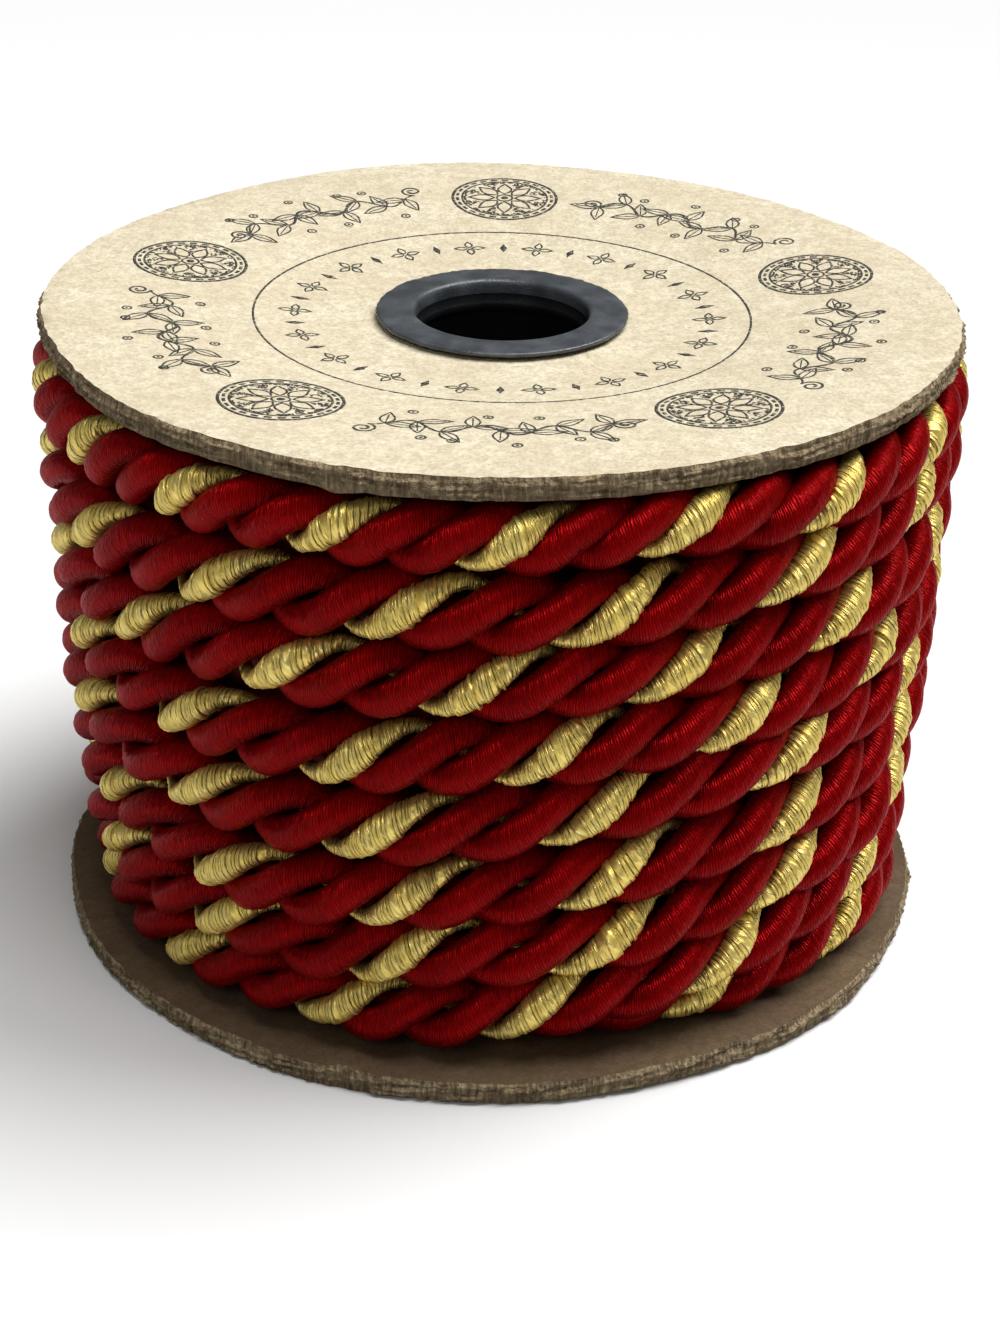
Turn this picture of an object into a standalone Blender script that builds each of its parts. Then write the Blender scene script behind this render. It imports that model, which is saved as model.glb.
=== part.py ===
"""Roll of decorative cord: three-strand twisted cord wound on a spool of two boards and a plastic hub.

Metres, +Z up. The spool's axis is Z and its lower board rests on z = 0. Angles are in degrees from +X,
and the front of the roll faces -Y, at 270 degrees.
"""
import math

import bmesh
import bpy
import numpy as np

# Spool
FLANGE_RADIUS = 0.0635
BOARD = 0.0031
ROLL_HEIGHT = 0.0910
BOARD_EDGE = 0.0003
BOARD_SEGMENTS = 48

# Each board is drawn in towards the other at the hub
DISH_DEPTH = 0.0029
DISH_INNER = 0.30 * FLANGE_RADIUS
DISH_OUTER = 0.92 * FLANGE_RADIUS
DISH_STATIONS = 5

# Hub
BORE_RADIUS = 0.0118
SLEEVE_RADIUS = 0.0134
HUB_RIM_RADIUS = 0.0176
HUB_RIM = 0.0013
HUB_EDGE = 0.0004
MOUTH_CHAMFER = 0.0006
HUB_SEGMENTS = 32

# Clearance between pieces that touch
GAP = 0.0003

# Cord: three strands laid to the left, so that a strand rises to the right on the front of a turn
CORD_RADIUS = 0.00475
STRANDS = 3
COLUMNS_A_STRAND = 3
LAYS_A_TURN = 14
GROOVE = 0.72
SIDE_GROOVE = 0.82
GOLD_STRAND = 2

# The outer layer is one strip that climbs round the roll. Its columns lean with the strands.
COLUMNS_A_TURN = LAYS_A_TURN * STRANDS * COLUMNS_A_STRAND
CROSS_STEPS = 4
LEAN_COLUMNS = 5
NEXT_TURN = COLUMNS_A_TURN + LEAN_COLUMNS
LAST_COLUMN = 1094
LAST_TURN = (LAST_COLUMN + LEAN_COLUMNS) / COLUMNS_A_TURN
START_ANGLE = 250.0
START_TAPER = 80.0
END_TAPER = 90.0
END_ANGLE = 360.0 * (LAST_TURN % 1.0)
FULL_ROWS = 7
RING_SEGMENTS = 42

# Outer radius of the winding against height, both as parts of the flange's radius
WINDING_OUTLINE = (
    # height, ridge radius
    (0.05, 0.937),
    (0.30, 0.968),
    (0.70, 1.000),
    (1.38, 1.030),
)
# The lowest rows stand further out towards one side
SLANT = 0.018 * FLANGE_RADIUS
SLANT_ANGLE = 330.0
SLANT_TOP = 0.60 * FLANGE_RADIUS


def start_collection(name):
    """An empty scene, and a collection for the pieces."""
    for old in list(bpy.data.objects):
        bpy.data.objects.remove(old, do_unlink=True)
    pieces = bpy.data.collections.new(name)
    bpy.context.scene.collection.children.link(pieces)
    return pieces


def plain_material(name, colour, roughness):
    material = bpy.data.materials.new(name)
    material.use_nodes = True
    shader = material.node_tree.nodes["Principled BSDF"]
    shader.inputs["Base Color"].default_value = (*colour, 1.0)
    shader.inputs["Roughness"].default_value = roughness
    shader.inputs["Metallic"].default_value = 0.0
    return material


def turned_piece(pieces, name, profile, segments, material):
    """A closed profile of (radius, height) points, running down its outer side, turned about Z."""
    mesh = bpy.data.meshes.new(name)
    points = [(radius, 0.0, height) for radius, height in profile]
    count = len(points)
    edges = [(index, (index + 1) % count) for index in range(count)]
    mesh.from_pydata(points, edges, [])
    piece = bpy.data.objects.new(name, mesh)
    pieces.objects.link(piece)
    screw = piece.modifiers.new("turn", "SCREW")
    screw.axis = "Z"
    screw.angle = math.tau
    screw.steps = segments
    screw.render_steps = segments
    screw.use_merge_vertices = True
    screw.merge_threshold = 0.00001
    screw.use_smooth_shade = True
    mesh.materials.append(material)
    return piece


def dish_stations():
    """Radii of the board's rings, and how far it is drawn in at each: a smooth step to a flat rim."""
    rise = np.linspace(0.0, 1.0, DISH_STATIONS)
    radii = DISH_INNER + (DISH_OUTER - DISH_INNER) * rise
    depths = DISH_DEPTH * (1.0 - rise * rise * (3.0 - 2.0 * rise))
    return radii, depths


def dish_at(radius):
    """How far a board is drawn in at a radius, along the straight runs between its rings."""
    radii, depths = dish_stations()
    return np.interp(radius, radii, depths)


def board_profile(hole_radius):
    """Section of the upper board: the outer face to the rim, and the inner face back to the hole."""
    radii, depths = dish_stations()
    outer_face = [(hole_radius, ROLL_HEIGHT - DISH_DEPTH)]
    outer_face += [(radius, ROLL_HEIGHT - depth) for radius, depth in zip(radii, depths)]
    outer_face.append((FLANGE_RADIUS - BOARD_EDGE, ROLL_HEIGHT))
    rim = [
        (FLANGE_RADIUS, ROLL_HEIGHT - BOARD_EDGE),
        (FLANGE_RADIUS, ROLL_HEIGHT - BOARD + BOARD_EDGE),
    ]
    inner_face = [(radius, height - BOARD) for radius, height in reversed(outer_face)]
    return outer_face + rim + inner_face


def hub_profile():
    """Section of the upper hub half: a rim on the board, and a sleeve down to the roll's middle."""
    seat = ROLL_HEIGHT - DISH_DEPTH + GAP
    crown = seat + HUB_RIM
    middle = 0.5 * (ROLL_HEIGHT + GAP)
    return [
        (BORE_RADIUS + MOUTH_CHAMFER, crown),
        (HUB_RIM_RADIUS - HUB_EDGE, crown),
        (HUB_RIM_RADIUS, crown - HUB_EDGE),
        (HUB_RIM_RADIUS, seat),
        (SLEEVE_RADIUS, seat),
        (SLEEVE_RADIUS, middle),
        (BORE_RADIUS, middle),
        (BORE_RADIUS, crown - MOUTH_CHAMFER),
    ]


def turned_over(profile):
    """The same section for the other end of the spool, again running down its outer side."""
    return [(radius, ROLL_HEIGHT - height) for radius, height in reversed(profile)]


def cord_axis_radius(height, angle):
    """Radius of the cord's axis in the outer layer."""
    heights, ridges = np.array(WINDING_OUTLINE).T * FLANGE_RADIUS
    slant = SLANT * np.clip(1.0 - height / SLANT_TOP, 0.0, 1.0)
    side = np.cos(np.radians(angle - SLANT_ANGLE))
    return np.interp(height, heights, ridges) - CORD_RADIUS + slant * side


# The wound cord lies between the boards' inner faces
LOWEST_AXIS_RADIUS = WINDING_OUTLINE[0][1] * FLANGE_RADIUS - CORD_RADIUS - SLANT
WINDING_FLOOR = BOARD + float(dish_at(LOWEST_AXIS_RADIUS)) + GAP
WINDING_TOP = ROLL_HEIGHT - BOARD - GAP


def lower_edge(turn):
    """Height of the strip's lower edge after so many turns. Its upper edge is one turn further on.

    The first row grows from nothing at the lower board and the last one shrinks to nothing under the
    upper board, so that a full stack of rows becomes one row taller and then one row lower again.
    """
    row = np.floor(turn)
    angle = 360.0 * (turn - row)
    first = np.sin(0.5 * np.pi * np.clip(angle / START_TAPER, 0.0, 1.0))
    last = np.sin(0.5 * np.pi * np.clip((END_ANGLE - angle) / END_TAPER, 0.0, 1.0))
    pitch = (WINDING_TOP - WINDING_FLOOR) / (FULL_ROWS + first + last)
    height = WINDING_FLOOR + (row - 1.0 + first) * pitch
    height = np.where(turn <= 1.0, WINDING_FLOOR, height)
    return np.where(turn >= LAST_TURN, WINDING_TOP, height)


def strip_points(columns, steps):
    """Points of the wound strip: a round section across each row, drawn in along the strands' grooves."""
    turns = (columns + LEAN_COLUMNS * steps / CROSS_STEPS) / COLUMNS_A_TURN
    angles = START_ANGLE + 360.0 * turns
    low = lower_edge(turns)
    high = lower_edge(turns + 1.0)
    across = np.pi * (steps / CROSS_STEPS - 0.5)
    in_groove = columns % COLUMNS_A_STRAND == 0
    crown = np.where(steps * 2 == CROSS_STEPS, GROOVE, SIDE_GROOVE)
    draw_in = np.where(in_groove & (steps % CROSS_STEPS > 0), crown, 1.0)
    half_height = 0.5 * (high - low)
    bulge = np.minimum(CORD_RADIUS, np.sqrt(np.maximum(half_height, 0.0) * CORD_RADIUS))
    height = 0.5 * (high + low) + half_height * np.sin(across) * draw_in
    radius = cord_axis_radius(height, angles) + bulge * np.cos(across) * draw_in
    radians = np.radians(angles)
    return np.stack([radius * np.cos(radians), radius * np.sin(radians), height], axis=-1)


def ring_points(radius, height, first_angle):
    angles = np.radians(first_angle + np.arange(RING_SEGMENTS) * 360.0 / RING_SEGMENTS)
    flat = np.full(RING_SEGMENTS, height)
    return np.stack([radius * np.cos(angles), radius * np.sin(angles), flat], axis=-1)


def lace(form, first_line, second_line, material_index=0):
    """Triangles between two lines of vertices, stepping along whichever line is behind."""
    first = 0
    second = 0
    first_last = len(first_line) - 1
    second_last = len(second_line) - 1
    while first < first_last or second < second_last:
        step_first = (first + 1) * second_last <= (second + 1) * first_last
        if second == second_last or (step_first and first < first_last):
            corners = (first_line[first], second_line[second], first_line[first + 1])
            first += 1
        else:
            corners = (first_line[first], second_line[second], second_line[second + 1])
            second += 1
        if len(set(corners)) == 3:
            face = form.faces.new(corners)
            face.material_index = material_index


def add_strip(form):
    """The wound face. Gives its lower and upper outlines, each one vertex a column for one turn."""
    columns, steps = np.meshgrid(np.arange(LAST_COLUMN + 1), np.arange(CROSS_STEPS), indexing="ij")
    grid = [[form.verts.new(point) for point in row] for row in strip_points(columns, steps)]
    first_top = LAST_COLUMN - NEXT_TURN + 1
    top_columns = np.arange(first_top, LAST_COLUMN + 1)
    top_points = strip_points(top_columns, np.full(len(top_columns), CROSS_STEPS))
    top_line = [form.verts.new(point) for point in top_points]

    # The two outlines each come back to the vertex that they left
    bottom_outline = [grid[column][0] for column in range(COLUMNS_A_TURN)] + [grid[0][0]]
    grid[COLUMNS_A_TURN][0] = grid[0][0]
    top_line[-1] = top_line[-1 - COLUMNS_A_TURN]
    top_outline = top_line[-1 - COLUMNS_A_TURN:]

    def vertex(column, step):
        if step < CROSS_STEPS:
            return grid[column][step]
        if column < first_top:
            return grid[column + NEXT_TURN][0]
        return top_line[column - first_top]

    for column in range(LAST_COLUMN):
        strand = column // COLUMNS_A_STRAND % STRANDS
        gold = int(strand == GOLD_STRAND)
        for step in range(CROSS_STEPS):
            lower = [vertex(column, step), vertex(column + 1, step)]
            upper = [vertex(column, step + 1), vertex(column + 1, step + 1)]
            lace(form, lower, upper, gold)

    # Small caps where the strip starts and ends
    start_column = [vertex(0, step) for step in range(CROSS_STEPS + 1)]
    over_start = [grid[COLUMNS_A_TURN + index][0] for index in range(LEAN_COLUMNS + 1)]
    lace(form, start_column, over_start)
    end_column = [vertex(LAST_COLUMN, step) for step in range(CROSS_STEPS + 1)]
    under_end = [vertex(first_top - 1 + index, CROSS_STEPS) for index in range(LEAN_COLUMNS + 1)]
    lace(form, under_end, end_column)
    return bottom_outline, top_outline


def add_ring(form, radius, height, first_angle):
    ring = [form.verts.new(point) for point in ring_points(radius, height, first_angle)]
    return ring + [ring[0]]


def add_end_face(form, outline, board_face, inwards, first_angle):
    """The end of the winding that lies against a dished board. Gives its inner edge."""
    radii, depths = dish_stations()
    inner_radius = SLEEVE_RADIUS + GAP
    outer = outline
    for radius, depth in list(zip(radii, depths))[-2::-1] + [(inner_radius, DISH_DEPTH)]:
        ring = add_ring(form, radius, board_face + inwards * depth, first_angle)
        lace(form, outer, ring)
        outer = ring
    return outer


def cord_roll(pieces, materials):
    """The wound cord as one solid, closed inside round the hub's sleeve."""
    form = bmesh.new()
    bottom_outline, top_outline = add_strip(form)
    column_angle = 360.0 / COLUMNS_A_TURN
    top_angle = START_ANGLE + (LAST_COLUMN + LEAN_COLUMNS) * column_angle
    bottom_edge = add_end_face(form, bottom_outline, BOARD + GAP, 1.0, START_ANGLE)
    top_edge = add_end_face(form, top_outline, WINDING_TOP, -1.0, top_angle)

    # The two inner edges start at different angles, so the upper one is read on from the nearest vertex
    ring_step = 360.0 / RING_SEGMENTS
    shift = round((START_ANGLE - top_angle) / ring_step) % RING_SEGMENTS
    top_edge = top_edge[shift:-1] + top_edge[:shift + 1]
    lace(form, bottom_edge, top_edge)

    loose = [vertex for vertex in form.verts if not vertex.link_faces]
    bmesh.ops.delete(form, geom=loose, context="VERTS")
    bmesh.ops.recalc_face_normals(form, faces=form.faces)
    mesh = bpy.data.meshes.new("cord_roll")
    form.to_mesh(mesh)
    form.free()
    for material in materials:
        mesh.materials.append(material)
    mesh.shade_smooth()
    mesh.set_sharp_from_angle(angle=math.radians(60.0))
    piece = bpy.data.objects.new("cord_roll", mesh)
    pieces.objects.link(piece)
    return piece


def main():
    pieces = start_collection("decorative_cord_roll")
    board = plain_material("kraft_board", (0.82, 0.74, 0.54), 0.90)
    plastic = plain_material("black_plastic", (0.020, 0.021, 0.023), 0.38)
    red = plain_material("red_strand", (0.26, 0.006, 0.010), 0.55)
    gold = plain_material("gold_strand", (0.42, 0.30, 0.09), 0.45)

    upper_board = board_profile(SLEEVE_RADIUS + GAP)
    turned_piece(pieces, "flange_bottom", turned_over(upper_board), BOARD_SEGMENTS, board)
    turned_piece(pieces, "flange_top", upper_board, BOARD_SEGMENTS, board)
    turned_piece(pieces, "hub_lower", turned_over(hub_profile()), HUB_SEGMENTS, plastic)
    turned_piece(pieces, "hub_upper", hub_profile(), HUB_SEGMENTS, plastic)
    cord_roll(pieces, (red, gold))


main()
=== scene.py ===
"""Roll of decorative cord, dressed: three twisted strands on a spool of two printed boards and a plastic hub.

Metres, +Z up, the spool's axis on Z and its lower board on z = 0. Angles are in degrees from +X unless they
are said to be in radians, and the front of the roll faces -Y, at 270 degrees.
"""
import math

import bpy
import numpy as np
from mathutils import Matrix, Vector


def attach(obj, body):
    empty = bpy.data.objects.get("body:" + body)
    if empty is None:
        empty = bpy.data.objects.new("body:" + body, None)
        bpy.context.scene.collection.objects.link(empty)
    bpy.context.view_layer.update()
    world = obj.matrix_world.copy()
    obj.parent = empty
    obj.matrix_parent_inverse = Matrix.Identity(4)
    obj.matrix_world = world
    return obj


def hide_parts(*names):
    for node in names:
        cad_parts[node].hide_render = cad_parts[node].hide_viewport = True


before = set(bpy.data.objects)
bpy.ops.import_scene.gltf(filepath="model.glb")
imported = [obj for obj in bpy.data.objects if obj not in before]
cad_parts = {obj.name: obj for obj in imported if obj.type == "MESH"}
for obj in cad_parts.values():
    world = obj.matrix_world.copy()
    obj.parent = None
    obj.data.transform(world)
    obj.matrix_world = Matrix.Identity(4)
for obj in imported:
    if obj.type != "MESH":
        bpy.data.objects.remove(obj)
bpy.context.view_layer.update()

# Spool, as in the solid model
FLANGE_RADIUS = 0.0635
BOARD = 0.0031
ROLL_HEIGHT = 0.0910
DISH_DEPTH = 0.0029
DISH_INNER = 0.30 * FLANGE_RADIUS
DISH_OUTER = 0.92 * FLANGE_RADIUS
SLEEVE_RADIUS = 0.0134
GAP = 0.0003

# Winding, as in the solid model
CORD_RADIUS = 0.00475
START_ANGLE = 250.0
START_TAPER = 80.0
END_TAPER = 90.0
COLUMNS_A_TURN = 126
LEAN_COLUMNS = 5
LAST_COLUMN = 1094
LAST_TURN = (LAST_COLUMN + LEAN_COLUMNS) / COLUMNS_A_TURN
END_ANGLE = 360.0 * (LAST_TURN % 1.0)
FULL_ROWS = 7
WINDING_OUTLINE = (
    # height, ridge radius, both as parts of the flange's radius
    (0.05, 0.937),
    (0.30, 0.968),
    (0.70, 1.000),
    (1.38, 1.030),
)
SLANT = 0.018 * FLANGE_RADIUS
SLANT_ANGLE = 330.0
SLANT_TOP = 0.60 * FLANGE_RADIUS

# Strands of the cord
RED_RADIUS = 0.00240
RED_HELIX = 0.00250
GOLD_RADIUS = 0.00222
GOLD_TIP = 0.42
GOLD_BELLY = 68.0
GOLD_BELLY_AT = 12.0
GOLD_HELIX = 0.00242
GOLD_TIP_RISE = 0.40
RED_PHASE = 113.0 / 360.0
ROW_STRETCH = 1.27
LEAST_STRETCH = 0.86
BOARD_CLEARANCE = 0.0008
TUCK_SHAPE = 0.9
LEVEL_BEHIND = (380.0, 500.0)
LIFT_SPREAD = 0.02
NEAR = 0.002
STRAND_SIDES = 14
LAY_LENGTH = 0.031
SEEN = 0.32
HIDDEN_STEPS = 3
END_RUN = 0.06
END_LAYS = 0.8
START_LAY_ANGLE = 26.0
LAST_LAY_ANGLE = 21.0
WOBBLE = 0.00022
GOLD_CROWNS = (
    # a row's first and last crown of gold in front, the lays between them, the lays behind to the next row,
    # and how far the row stands above an even winding at each of its crowns, in millimetres
    (301.6, 328.0, 1, 10, (0.0, 1.8)),
    (222.8, 330.0, 4, 10, (-0.9, 0.8, -1.9, -1.2, 2.0)),
    (231.8, 338.8, 4, 9, (-1.5, -1.0, -2.2, -0.6, 1.6)),
    (206.8, 338.0, 5, 9, (-2.6, -3.4, -1.6, -1.4, -0.6, 1.4)),
    (202.0, 337.5, 5, 9, (-1.5, -2.7, -1.6, -0.8, 1.0, 1.8)),
    (204.0, 325.8, 5, 10, (-0.4, -2.0, -1.4, -0.8, -0.4, 0.1)),
    (220.0, 340.8, 5, 9, (-2.0, 0.0, -0.5, -0.6, -0.3, 1.5)),
    (210.2, 332.6, 5, 11, (-2.8, -1.5, -0.3, -0.7, -0.5, 1.9)),
    (210.2, 312.4, 5, 0, (-1.7, -0.4, -0.2, 0.4, -0.3, 0.7)),
)

# Red strands: one ring for each bit of yarn
RED_STEP = 0.00074
RED_UNEVEN = 0.022
RED_SEEDS = (101, 111)

# Gold strand: flat metal thread wrapped across it
WRAP_NARROW = 0.00034
WRAP_SPREAD = 0.00028
WRAP_WIDE = 0.00090
WRAP_WIDE_SHARE = 0.22
WRAP_SHOULDER = 0.00012
WRAP_MAP = (0.0, 0.24, 0.76)
WRAP_GROOVE = 0.11
WRAP_GROOVE_POWER = 1.5
WRAP_UNEVEN = 0.042
WRAP_LEAN = -0.00065
WRAP_LEAN_UNEVEN = 0.00016
WRAP_LEAN_BLEND = (0.5, 0.5, 0.5)
HIDDEN_RINGS = 12
GOLD_SEEDS = (121, 131)

# Ripples: the fewest and the most waves round a ring, and how far a second coordinate shifts them
RIPPLE_COSINES = 14
RIPPLE_A_LAY = 0.05
WOBBLE_RIPPLES = (18, 60, 0.0)
RED_RIPPLES = (20, 90, 2.0)
GOLD_RIPPLES = (40, 200, 3.0)
RIM_RIPPLES = (1, 4, 0.0)
FACE_RIPPLES = (30, 160, 3.0)
OUTLINE_RIPPLES = (2, 11, 0.0)
FRAY_RIPPLES = (40, 150, 0.0)
LAYER_RIPPLES = (4, 40, 1.0)
GRAIN_RIPPLES = (90, 340, 1.0)
HUB_RIPPLES = (3, 20, 0.0)
HUB_FINE_RIPPLES = (30, 75, 0.0)

MILLIMETRES = 1000.0


# Shapes

def joined(*parts):
    """Arrays of one shape set side by side along a new last axis."""
    return np.stack(parts, axis=-1)


def ease(value):
    """A smooth step: 3 v squared less 2 v cubed, with v held between 0 and 1."""
    held = np.clip(value, 0.0, 1.0)
    return held * held * (3.0 - 2.0 * held)


def ripples(angle, kind, seed, across=0.0):
    """Uneven waves round a ring, about 1 high: a mean of cosines whose counts round it are whole numbers.

    kind gives the fewest and the most waves, and a slope. The angle is in radians, and across is a second
    coordinate, which shifts each cosine by up to the slope times itself.
    """
    slowest, fastest, slope = kind
    draw = np.random.default_rng(seed)
    waves = draw.integers(slowest, fastest + 1, RIPPLE_COSINES)
    starts = draw.uniform(0.0, math.tau, RIPPLE_COSINES)
    slopes = draw.uniform(-slope, slope, RIPPLE_COSINES)
    total = 0.0
    for wave, start, lean in zip(waves, starts, slopes):
        total = total + np.cos(wave * angle + lean * across + start)
    return total * math.sqrt(2.0 / RIPPLE_COSINES)


def ring_angles(count):
    """Even angles once round a ring, in radians."""
    return math.tau * np.arange(count) / count


def degrees_from(angles, place):
    """The short way round, in degrees, to each angle in radians from a place in degrees."""
    return (np.degrees(angles) - place + 180.0) % 360.0 - 180.0


def grid_quads(rows, columns, rows_closed):
    """Faces of a grid closed along its columns, facing the way of its row step cross its column step."""
    row, column = np.meshgrid(np.arange(rows - 1 + rows_closed), np.arange(columns), indexing="ij")
    next_row = (row + 1) % rows
    next_column = (column + 1) % columns
    corners = ((row, column), (next_row, column), (next_row, next_column), (row, next_column))
    return joined(*[first * columns + second for first, second in corners]).reshape(-1, 4)


def new_object(name, data):
    """An object in the scene that holds some data."""
    made = bpy.data.objects.new(name, data)
    bpy.context.scene.collection.objects.link(made)
    return made


def new_piece(name, vertices, faces, materials, nodes):
    """A piece at the origin that rides on the roll and stands for the named nodes."""
    mesh = bpy.data.meshes.new(name)
    mesh.from_pydata(vertices.tolist(), [], faces)
    for material in materials:
        mesh.materials.append(material)
    mesh.shade_smooth()
    piece = new_object(name, mesh)
    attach(piece, "root")
    if nodes:
        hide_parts(*nodes)
    return piece


def ring_piece(name, points, materials, node, row_materials=None, sharp=None):
    """A closed section carried round the axis: points is a grid of section stations by angles.

    row_materials gives the material's number for the faces between each station and the next, and sharp is
    the angle in degrees past which an edge isn't smoothed. Both are given, or neither.
    """
    rows, columns = points.shape[:2]
    quads = grid_quads(rows, columns, True)
    piece = new_piece(name, points.reshape(-1, 3), quads.tolist(), materials, [node])
    if row_materials is not None:
        piece.data.polygons.foreach_set("material_index", np.repeat(row_materials, columns).astype(np.int32))
        piece.data.set_sharp_from_angle(angle=math.radians(sharp))


def turned_points(radius, height, angles):
    """Points at a radius, a height and an angle in radians, each a number or an array spread over a grid."""
    return joined(*np.broadcast_arrays(radius * np.cos(angles), radius * np.sin(angles), height))


def strand_piece(name, rings, along, radius, material):
    """A closed tube from rings of points, with a map of the length along it and the length round it."""
    count, sides = rings.shape[:2]
    quads = grid_quads(count, sides, False)
    ends = np.stack([rings[0].mean(axis=0), rings[-1].mean(axis=0)])
    side = np.arange(sides)
    next_side = (side + 1) % sides
    first_pole = count * sides
    last_ring = (count - 1) * sides
    start_fan = joined(np.full(sides, first_pole), side, next_side)
    end_fan = joined(np.full(sides, first_pole + 1), last_ring + next_side, last_ring + side)
    vertices = np.concatenate([rings.reshape(-1, 3), ends])
    faces = quads.tolist() + start_fan.tolist() + end_fan.tolist()
    piece = new_piece(name, vertices, faces, [material], ["cord_roll"])

    around = np.arange(sides + 1) * math.tau * radius * MILLIMETRES / sides
    row, column = np.meshgrid(np.arange(count - 1), np.arange(sides), indexing="ij")
    lengths = joined(along[row], along[row + 1], along[row + 1], along[row])
    girths = joined(around[column], around[column], around[column + 1], around[column + 1])
    body_map = joined(lengths, girths).reshape(-1, 2)
    fan_girths = joined(around[:-1], around[:-1], around[1:]).ravel()
    start_map = joined(np.full(3 * sides, along[0]), fan_girths)
    end_map = joined(np.full(3 * sides, along[-1]), fan_girths)
    layer = piece.data.uv_layers.new(name="yarn_map")
    layer.data.foreach_set("uv", np.concatenate([body_map, start_map, end_map]).ravel())


# Path of the wound cord

def cord_axis_radius(height, angle):
    """Radius of the cord's axis in the outer layer: the winding's outline less the cord, slanted low down."""
    heights, ridges = np.array(WINDING_OUTLINE).T * FLANGE_RADIUS
    slant = SLANT * np.clip(1.0 - height / SLANT_TOP, 0.0, 1.0)
    side = np.cos(np.radians(angle - SLANT_ANGLE))
    return np.interp(height, heights, ridges) - CORD_RADIUS + slant * side


def dish_at(radius):
    """How far a board is drawn in at a radius: a smooth step from the hub to the flat rim."""
    return DISH_DEPTH * (1.0 - ease((radius - DISH_INNER) / (DISH_OUTER - DISH_INNER)))


LOWEST_AXIS_RADIUS = WINDING_OUTLINE[0][1] * FLANGE_RADIUS - CORD_RADIUS - SLANT
WINDING_FLOOR = BOARD + float(dish_at(LOWEST_AXIS_RADIUS)) + GAP
WINDING_TOP = ROLL_HEIGHT - BOARD - GAP


def row_growth(angle):
    """How much of a row the first and the last row take up, at degrees on from where the winding starts."""
    first = np.sin(0.5 * np.pi * np.clip(angle / START_TAPER, 0.0, 1.0))
    last = np.sin(0.5 * np.pi * np.clip((END_ANGLE - angle) / END_TAPER, 0.0, 1.0))
    return first, last


def lower_edge(turn):
    """Height of a row's lower edge after so many turns. Its upper edge is one turn further on."""
    row = np.floor(turn)
    first, last = row_growth(360.0 * (turn - row))
    pitch = (WINDING_TOP - WINDING_FLOOR) / (FULL_ROWS + first + last)
    height = WINDING_FLOOR + (row - 1.0 + first) * pitch
    height = np.where(turn <= 1.0, WINDING_FLOOR, height)
    return np.where(turn >= LAST_TURN, WINDING_TOP, height)


def lift_knots():
    """Turns, and how far the rows stand above an even winding there: as given in front, and level behind."""
    turns = []
    lifts = []
    for row, (first, last, between, _, heights) in enumerate(GOLD_CROWNS):
        angles = [*np.linspace(first, last, between + 1), *LEVEL_BEHIND]
        turns += [row + (angle - START_ANGLE) / 360.0 for angle in angles]
        lifts += [height / MILLIMETRES for height in heights] + [0.0, 0.0]
    return turns, lifts


LIFT_TURNS, LIFTS = lift_knots()


def row_lift(turn):
    """A row's rise over an even winding, smoothed along it."""
    spread = (-LIFT_SPREAD, 0.0, LIFT_SPREAD)
    return sum(np.interp(turn + shift, LIFT_TURNS, LIFTS) for shift in spread) / len(spread)


def cord_centre(turn):
    """The cord's axis: round the roll at the middle of its row, rolled in under a neighbour at both ends."""
    held = np.clip(turn, 0.0, LAST_TURN)
    angle = START_ANGLE + 360.0 * turn
    height = 0.5 * (lower_edge(held) + lower_edge(held + 1.0))
    height = height + row_lift(held)
    height = np.clip(height, WINDING_FLOOR + CORD_RADIUS, WINDING_TOP - CORD_RADIUS)
    first, _ = row_growth(np.where(held < 1.0, 360.0 * held, 180.0))
    from_end = 360.0 * (held - LAST_TURN) + END_ANGLE
    _, last = row_growth(np.where(held > LAST_TURN - 1.0, from_end, 0.0))
    first = np.where(held < 1.0, first, 1.0)
    last = np.where(held > LAST_TURN - 0.5, last, 1.0)
    inwards = 2.0 * CORD_RADIUS * ((1.0 - first) ** TUCK_SHAPE + (1.0 - last) ** TUCK_SHAPE)
    radius = cord_axis_radius(height, angle) - inwards + WOBBLE * ripples(turn, WOBBLE_RIPPLES, 11)
    height = height + WOBBLE * ripples(turn, WOBBLE_RIPPLES, 12)
    return turned_points(radius, height, np.radians(angle))


def unit(vectors):
    """The vectors brought to length 1."""
    return vectors / np.linalg.norm(vectors, axis=-1, keepdims=True)


def square_to(vectors, direction):
    """The vectors less their part along a direction, brought to length 1."""
    along = np.sum(vectors * direction, axis=-1, keepdims=True)
    return unit(vectors - along * direction)


def lay_knots():
    """Turns at which the gold strand stands on the cord's crown, and its lay number there, a whole number."""
    turns = []
    lays = []
    lay = 0
    for row, (first, last, between, behind, _) in enumerate(GOLD_CROWNS):
        turns += [row + (first - START_ANGLE) / 360.0, row + (last - START_ANGLE) / 360.0]
        lays += [lay, lay + between]
        lay += between + behind
    start = -END_RUN
    end = LAST_TURN + END_RUN
    start_lay = lays[0] - (turns[0] - start) * 360.0 / START_LAY_ANGLE
    end_lay = lays[-1] + (end - turns[-1]) * 360.0 / LAST_LAY_ANGLE
    return np.array([start, *turns, end]), np.array([start_lay, *lays, end_lay])


KNOT_TURNS, KNOT_LAYS = lay_knots()


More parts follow.
